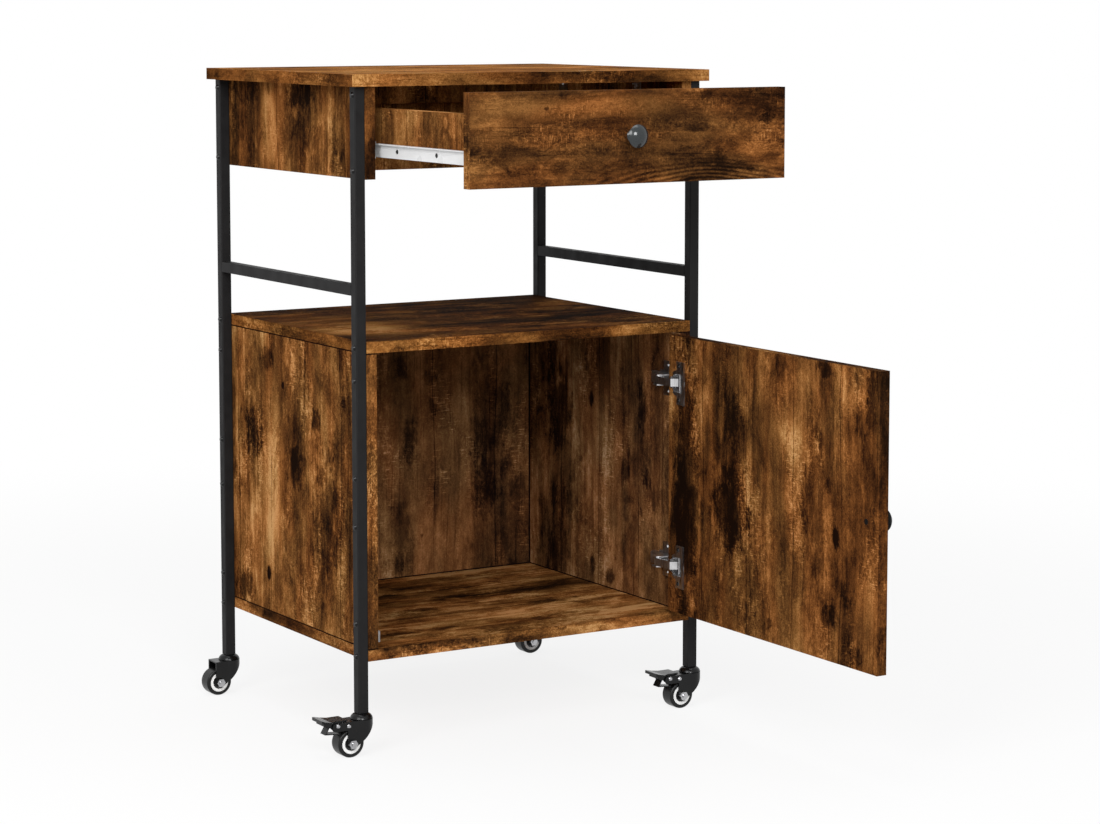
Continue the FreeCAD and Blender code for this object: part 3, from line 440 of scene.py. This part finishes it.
def wood(name, along, across, seed, light=0.0, contrast=1.0, plank=PLANK, marks=(), arches=None,
         edge_light=0.08, joints=(), tone=BOARD_TONE, fine=1.0):
    """Rustic smoked-oak print: planks with smoky clouds, worn flecks, streaks, knots and pores.

    along and across are the axes of the grain and of the width, and seed picks the board's part of
    the print. light is added to its tone, and edge_light on its edges and ends. contrast is the share
    of the broad features and fine that of the small mottling. plank is the width of a plank, marks are
    rows as in DOOR_MARKS, and arches is the place of an arched grain. joints are the dark lines
    where other boards meet this one, partly the seams and partly painted shade in the inside corners, and
    tone is a last tint of the whole board.
    """
    f = Finish(name)
    straight, edge = grain_place(f, along, across, seed)
    sway = f.math("MULTIPLY", f.grain(straight, "sway"), SWAY_WIDTH)
    place = f.vector("ADD", straight, f.gather(0.0, sway, 0.0))
    noises = {kind: f.grain(place, kind) for kind in NOISES if kind != "sway"}
    clouds, mottle, worn = noises["clouds"], noises["mottle"], noises["worn"]
    planks, seam = board_strips(f, place, seed, plank, worn)

    broad = {
        "patches": noises["patches"],
        "clouds": clouds,
        "streaks": noises["streaks"],
        "planks": planks,
        "flakes": flake_tone(f, place, clouds, mottle),
        "smoke": f.step(noises["smoke"], "smoke"),
        "worn": f.step(worn, "worn"),
    }
    level = f.total(MIDDLE_TONE + light, *(
        (value, BROAD_WEIGHTS[kind] * contrast) for kind, value in broad.items()
    ))
    rough = f.math("MULTIPLY", mottle, f.step(worn, "mottle where worn"))
    level = f.total(
        level, (rough, MOTTLE_WEIGHT * fine), (noises["grit"], GRIT_WEIGHT * fine),
        (edge, edge_light), (seam, SEAM_WEIGHT),
    )

    fray = f.total(0.0, *((noises[kind], share) for kind, share in FRAY.items()))
    for mark in marks:
        reach = f.math("ADD", mark_gap(f, place, seed, mark), fray)
        level = f.total(level, (f.between(reach, *MARK_RIM, mark[4], 0.0), contrast))
    if arches:
        gap = mark_gap(f, place, seed, arches)
        waves = f.math("SINE", f.total(f.math("MULTIPLY", gap, ARCH_PHASE), (clouds, ARCH_BEND)))
        level = f.total(level, (f.math("MULTIPLY", waves, f.step(gap, "arches")), ARCH_WEIGHT))

    scratch = f.math(
        "MULTIPLY", f.step(noises["scratches"], "scratch"), f.step(worn, "scratch where worn")
    )
    dash = f.math(
        "MULTIPLY", f.step(noises["dashes"], "dash"), f.step(noises["patches"], "dash by patch")
    )
    crack = f.step(noises["cracks"], "crack")
    level = f.total(level, (scratch, SCRATCH_WEIGHT), (dash, DASH_WEIGHT), (crack, CRACK_WEIGHT))
    # Dark lines along the joints: partly the seams, partly painted shade in the inside corners
    if joints:
        level = f.total(level, (joint_shade_line(f, joints), JOINT_SHADE_WEIGHT))

    colour = f.ramp(level, [(stop, screen(*shown)) for stop, shown in BOARD_TONES])
    tint = f.mix(f.step(noises["warmth"], "warmth"), RED_TINT, OLIVE_TINT)
    colour = f.mix(1.0, colour, tint, "MULTIPLY")
    colour = f.mix(1.0, colour, (*tone, 1), "MULTIPLY")
    relief = f.total(0.5, *((noises[kind], share) for kind, share in RELIEF.items()))
    return f.surface(
        Base_Color=colour,
        Roughness=f.step(mottle, "roughness"),
        Specular_IOR_Level=BOARD_SHINE,
        Normal=f.bump(relief, RELIEF_HEIGHT, RELIEF_STRENGTH),
    )


def coat(name, colour, roughness, specks=0.0, relief=0.04, metallic=0.0, shine=0.5):
    """Paint, plastic or plain metal with a slightly uneven sheen.

    specks is how far its colour varies, relief is in millimetres and shine is the specular level.
    """
    f = Finish(name)
    cloud = f.noise(f.place, scale=PAINT_CLOUDS, detail=3.0)
    fine = f.noise(f.place, scale=PAINT_GRAINS, detail=2.0)
    tone = f.between(cloud, *MOST_OF_NOISE, 1.0 - specks, 1.0 + specks)
    base = f.mix(1.0, (*colour, 1), f.gather(tone, tone, tone), "MULTIPLY")
    return f.surface(
        Base_Color=base,
        Metallic=metallic,
        Specular_IOR_Level=shine,
        Roughness=f.between(cloud, *ALL_OF_NOISE, *(roughness * share for share in PAINT_SPREAD)),
        Normal=f.bump(fine, relief * MM, PAINT_STRENGTH),
    )


def brushed(name, colour, roughness, along):
    """Bright plated steel with fine lines along one axis."""
    f = Finish(name)
    across_scale, along_scale = PLATE_LINES
    stretch = [across_scale] * 3
    stretch[along] = along_scale
    lines = f.noise(f.vector("MULTIPLY", f.place, tuple(stretch)), detail=3.0)
    cloud = f.noise(f.place, scale=PLATE_CLOUDS, detail=2.0)
    tone = f.between(cloud, *ALL_OF_NOISE, *PLATE_TONES)
    base = f.mix(1.0, (*colour, 1), f.gather(tone, tone, tone), "MULTIPLY")
    return f.surface(
        Base_Color=base,
        Metallic=1.0,
        Roughness=f.between(lines, *ALL_OF_NOISE, *(roughness * share for share in PLATE_SPREAD)),
        Normal=f.bump(lines, PLATE_RELIEF, PLATE_STRENGTH),
    )


def dress(material, *nodes):
    """Gives CAD nodes their material."""
    for name in nodes:
        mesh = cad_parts[name]
        mesh.data.materials.clear()
        mesh.data.materials.append(material)


def dress_boards():
    """The printed boards, with dark lines where the cabinet's boards meet: seams and painted shade in the
    corners.
    """
    floor_joint = (Z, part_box("cabinet_bottom")[1][Z])
    roof_joint = (Z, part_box("cabinet_top")[0][Z])
    left_joint = (X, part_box("cabinet_side_left")[1][X])
    right_joint = (X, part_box("cabinet_side_right")[0][X])
    rear_joint = (Y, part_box("cabinet_back")[0][Y])
    boards = {
        "top_board": wood(
            "oak_worktop", X, Y, seed=1.3, light=0.12, contrast=0.85, edge_light=-0.06, tone=TOP_TONE,
        ),
        "apron_left": wood(
            "oak_apron_left", Z, Y, seed=36.7, light=-0.07, contrast=1.15, marks=APRON_MARKS,
            edge_light=-0.12,
        ),
        "apron_right": wood("oak_apron_right", Z, Y, seed=7.4),
        "apron_back": wood("oak_apron_back", Z, X, seed=3.2, light=-0.08),
        # The shelf is darker overall as painted shade under the drawer and the worktop.
        "cabinet_top": wood(
            "oak_shelf", X, Y, seed=56.5, light=-0.20, contrast=1.1, marks=SHELF_MARKS_AND_PAINTED_LIGHT, edge_light=0.12,
            tone=SHELF_TONE,
        ),
        "cabinet_bottom": wood(
            "oak_floor", X, Y, seed=5.9, light=0.12, contrast=1.25, marks=FLOOR_MARKS, edge_light=-0.02,
        ),
        "cabinet_side_left": wood(
            "oak_side_left", Z, Y, seed=75.4, light=0.02, contrast=1.05, marks=LEFT_MARKS,
            edge_light=-0.06, joints=(floor_joint, roof_joint), fine=1.15,
        ),
        "cabinet_side_right": wood(
            "oak_side_right", Z, Y, seed=43.4, light=0.02, contrast=0.9, marks=RIGHT_MARKS,
            edge_light=-0.28, joints=(floor_joint, roof_joint, rear_joint), tone=INNER_TONE, fine=0.8,
        ),
        "cabinet_back": wood(
            "oak_back", Z, X, seed=78.9, contrast=0.7, marks=BACK_MARKS,
            joints=(floor_joint, roof_joint, left_joint, right_joint), tone=INNER_TONE, fine=0.65,
        ),
        "door_panel": wood(
            "oak_door", Z, Y, seed=44.9, light=0.01, contrast=0.95, marks=DOOR_MARKS, edge_light=-0.14,
        ),
        "drawer_front": wood(
            "oak_drawer_front", X, Z, seed=28.8, light=-0.105, contrast=0.85, plank=0.5,
            marks=DRAWER_MARKS, arches=DRAWER_ARCHES, edge_light=0.02, fine=0.8,
        ),
        "drawer_side_left": wood(
            "oak_drawer_side_left", Z, Y, seed=98.7, light=0.14, contrast=0.8, marks=SIDE_MARKS,
        ),
        "drawer_side_right": wood("oak_drawer_side_right", Z, Y, seed=13.1, light=0.05, contrast=0.8),
        "drawer_back": wood("oak_drawer_back", Z, X, seed=14.4, contrast=0.8),
        "drawer_bottom": wood("oak_drawer_bottom", Y, X, seed=15.2),
    }
    for node, material in boards.items():
        dress(material, node)


def corner_names(prefix):
    """The four nodes of this kind, one at each corner of the cart."""
    return [prefix + end + "_" + side for end in ("front", "rear") for side in ("left", "right")]


def wheel_finish(name, core):
    """White moulded core, dark within the ring about the axle: partly a dark bearing cover, partly
    painted shade from the fork.
    """
    low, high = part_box(core)
    f = Finish(name)
    axle = [(low[axis] + high[axis]) / 2 for axis in (X, Y, Z)]
    offset = f.vector("MULTIPLY", f.vector("SUBTRACT", f.place, tuple(axle)), (1.0, 0.0, 1.0))
    # Dark within the ring: partly a dark bearing cover and partly painted shade from the fork
    ring = f.between(f.vector("LENGTH", offset), *WHEEL_RING)
    cloud = f.noise(f.place, scale=WHEEL_CLOUDS, detail=3.0)
    return f.surface(
        Base_Color=f.mix(ring, WHEEL_BLACK_AND_SHADE, WHEEL_WHITE),
        Roughness=f.between(cloud, *ALL_OF_NOISE, *WHEEL_ROUGHNESS),
        Normal=f.bump(cloud, WHEEL_RELIEF, WHEEL_STRENGTH),
    )


def dress_fittings():
    """Frame, screws, slides, hinges, knobs and casters."""
    frame_black = coat(
        "black_coat", (0.0105, 0.0100, 0.0102), roughness=0.56, specks=0.10, relief=0.03, shine=0.12,
    )
    dress(frame_black, *corner_names("leg_"), "rung_left", "rung_right")
    screw_black = coat(
        "screw_black", (0.002, 0.002, 0.002), roughness=0.13, specks=0.1, relief=0.02, shine=0.22,
    )
    dress(screw_black, "frame_screws")
    white_epoxy = coat("white_epoxy", (0.66, 0.66, 0.66), roughness=0.30, specks=0.02, relief=0.05)
    dress(white_epoxy, "slide_rail_left", "slide_rail_right", "slide_runner_left", "slide_runner_right")
    nylon = coat("nylon", (0.78, 0.78, 0.75), roughness=0.45, specks=0.02)
    dress(nylon, "rail_roller_left", "rail_roller_right", "runner_roller_left", "runner_roller_right")
    nickel = brushed("nickel", (0.50, 0.495, 0.50), roughness=0.34, along=Z)
    dress(nickel, "hinge_cups", "hinge_plates", "hinge_links")
    dress(brushed("zinc", (0.55, 0.56, 0.57), roughness=0.34, along=Y), "worktop_brackets", "wood_screws")
    dark_steel = coat(
        "dark_steel", (0.012, 0.012, 0.012), roughness=0.25, specks=0.1, relief=0.02, metallic=0.4,
    )
    dress(dark_steel, "door_screws", "drawer_fittings")
    gloss_black = coat("gloss_black", (0.012, 0.0155, 0.0165), roughness=0.20, specks=0.05, relief=0.02)
    dress(gloss_black, "drawer_knob", "door_knob")
    grey_plastic = coat("grey_plastic", (0.30, 0.305, 0.31), roughness=0.42, specks=0.05, relief=0.05)
    dress(grey_plastic, "door_stop_block")
    black_plastic = coat("black_plastic", (0.008, 0.008, 0.008), roughness=0.5, specks=0.05, relief=0.05)
    dress(black_plastic, "leg_inserts")
    caster_black = coat(
        "caster_black", (0.0033, 0.0033, 0.0035), roughness=0.25, specks=0.1, relief=0.03, shine=0.25,
    )
    dress(caster_black, "caster_stems", "brake_pedal_front_left", "brake_pedal_front_right",
          *corner_names("caster_fork_"))
    bright_steel = brushed("bright_steel", (0.42, 0.42, 0.43), roughness=0.15, along=X)
    dress(bright_steel, *corner_names("caster_pins_"))
    tread = coat("tread", (0.0040, 0.0040, 0.0040), roughness=0.34, specks=0.1, relief=0.08, shine=0.26)
    dress(tread, *corner_names("tyre_"))
    for name in corner_names("wheel_core_"):
        dress(wheel_finish("white_" + name, name), name)


def studio():
    """Pale floor, soft lamps and a world that is plain white where it is seen.

    Camera, glossy and transmission rays see the white, and the floor keeps the cart's shadow.
    """
    world = bpy.data.worlds.new("studio")
    bpy.context.scene.world = world
    world.use_nodes = True
    tree = world.node_tree
    tree.nodes.clear()
    rays = tree.nodes.new("ShaderNodeLightPath")
    plain = tree.nodes.new("ShaderNodeBackground")
    plain.inputs["Strength"].default_value = WORLD_LIGHT
    shown = tree.nodes.new("ShaderNodeBackground")
    shown.inputs["Strength"].default_value = 1.0
    for node in (plain, shown):
        node.inputs["Color"].default_value = (1, 1, 1, 1)
    direct = tree.nodes.new("ShaderNodeMath")
    seen = tree.nodes.new("ShaderNodeMath")
    for node in (direct, seen):
        node.operation = "MAXIMUM"
    tree.links.new(rays.outputs["Is Camera Ray"], direct.inputs[0])
    tree.links.new(rays.outputs["Is Transmission Ray"], direct.inputs[1])
    tree.links.new(direct.outputs[0], seen.inputs[0])
    tree.links.new(rays.outputs["Is Glossy Ray"], seen.inputs[1])
    blend = tree.nodes.new("ShaderNodeMixShader")
    output = tree.nodes.new("ShaderNodeOutputWorld")
    tree.links.new(seen.outputs[0], blend.inputs[0])
    tree.links.new(plain.outputs[0], blend.inputs[1])
    tree.links.new(shown.outputs[0], blend.inputs[2])
    tree.links.new(blend.outputs[0], output.inputs["Surface"])

    bpy.ops.mesh.primitive_plane_add(size=FLOOR_SIZE, location=(0, 0, 0))
    floor = bpy.context.object
    floor.name = "floor"
    f = Finish("floor_white")
    paint = f.node("ShaderNodeBsdfDiffuse")
    paint.inputs["Color"].default_value = (FLOOR_PAINT, FLOOR_PAINT, FLOOR_PAINT, 1)
    glow = f.node("ShaderNodeEmission")
    glow.inputs["Strength"].default_value = 1.0
    glow.inputs["Color"].default_value = (1, 1, 1, 1)
    rays = f.node("ShaderNodeLightPath")
    far = f.between(f.vector("LENGTH", f.place), *FLOOR_REACH, *FLOOR_WHITE)
    direct = f.math("MAXIMUM", rays.outputs["Is Camera Ray"], rays.outputs["Is Transmission Ray"])
    share = f.math("MULTIPLY", f.math("MAXIMUM", direct, rays.outputs["Is Glossy Ray"]), far)
    blend = f.node("ShaderNodeMixShader")
    output = f.node("ShaderNodeOutputMaterial")
    f.feed(blend.inputs[0], share)
    f.feed(blend.inputs[1], paint.outputs[0])
    f.feed(blend.inputs[2], glow.outputs[0])
    f.feed(output.inputs["Surface"], blend.outputs[0])
    floor.data.materials.append(f.material)

    for settings in LAMPS:
        lamp(*settings)


def lamp(name, place, aim, size, power):
    """A square area lamp that faces its aim."""
    light = bpy.data.lights.new(name, "AREA")
    light.size = size
    light.energy = power
    made = bpy.data.objects.new(name, light)
    made.location = place
    made.rotation_euler = (Vector(aim) - Vector(place)).to_track_quat("-Z", "Y").to_euler()
    bpy.context.collection.objects.link(made)


def camera():
    """The photograph's camera: yaw turns it from +Y towards +X, and pitch tilts it down."""
    data = bpy.data.cameras.new("photo_view")
    data.sensor_width = CAMERA_SENSOR
    data.lens = CAMERA_LENS
    data.shift_y = CAMERA_SHIFT
    data.clip_end = CAMERA_REACH
    made = bpy.data.objects.new("photo_view", data)
    made.location = CAMERA_PLACE
    level = math.cos(CAMERA_PITCH)
    ahead = Vector((math.sin(CAMERA_YAW) * level, math.cos(CAMERA_YAW) * level, -math.sin(CAMERA_PITCH)))
    made.rotation_euler = ahead.to_track_quat("-Z", "Y").to_euler()
    bpy.context.collection.objects.link(made)
    bpy.context.scene.camera = made


dress_boards()
dress_fittings()
studio()
camera()
bpy.context.scene.view_settings.view_transform = "Standard"
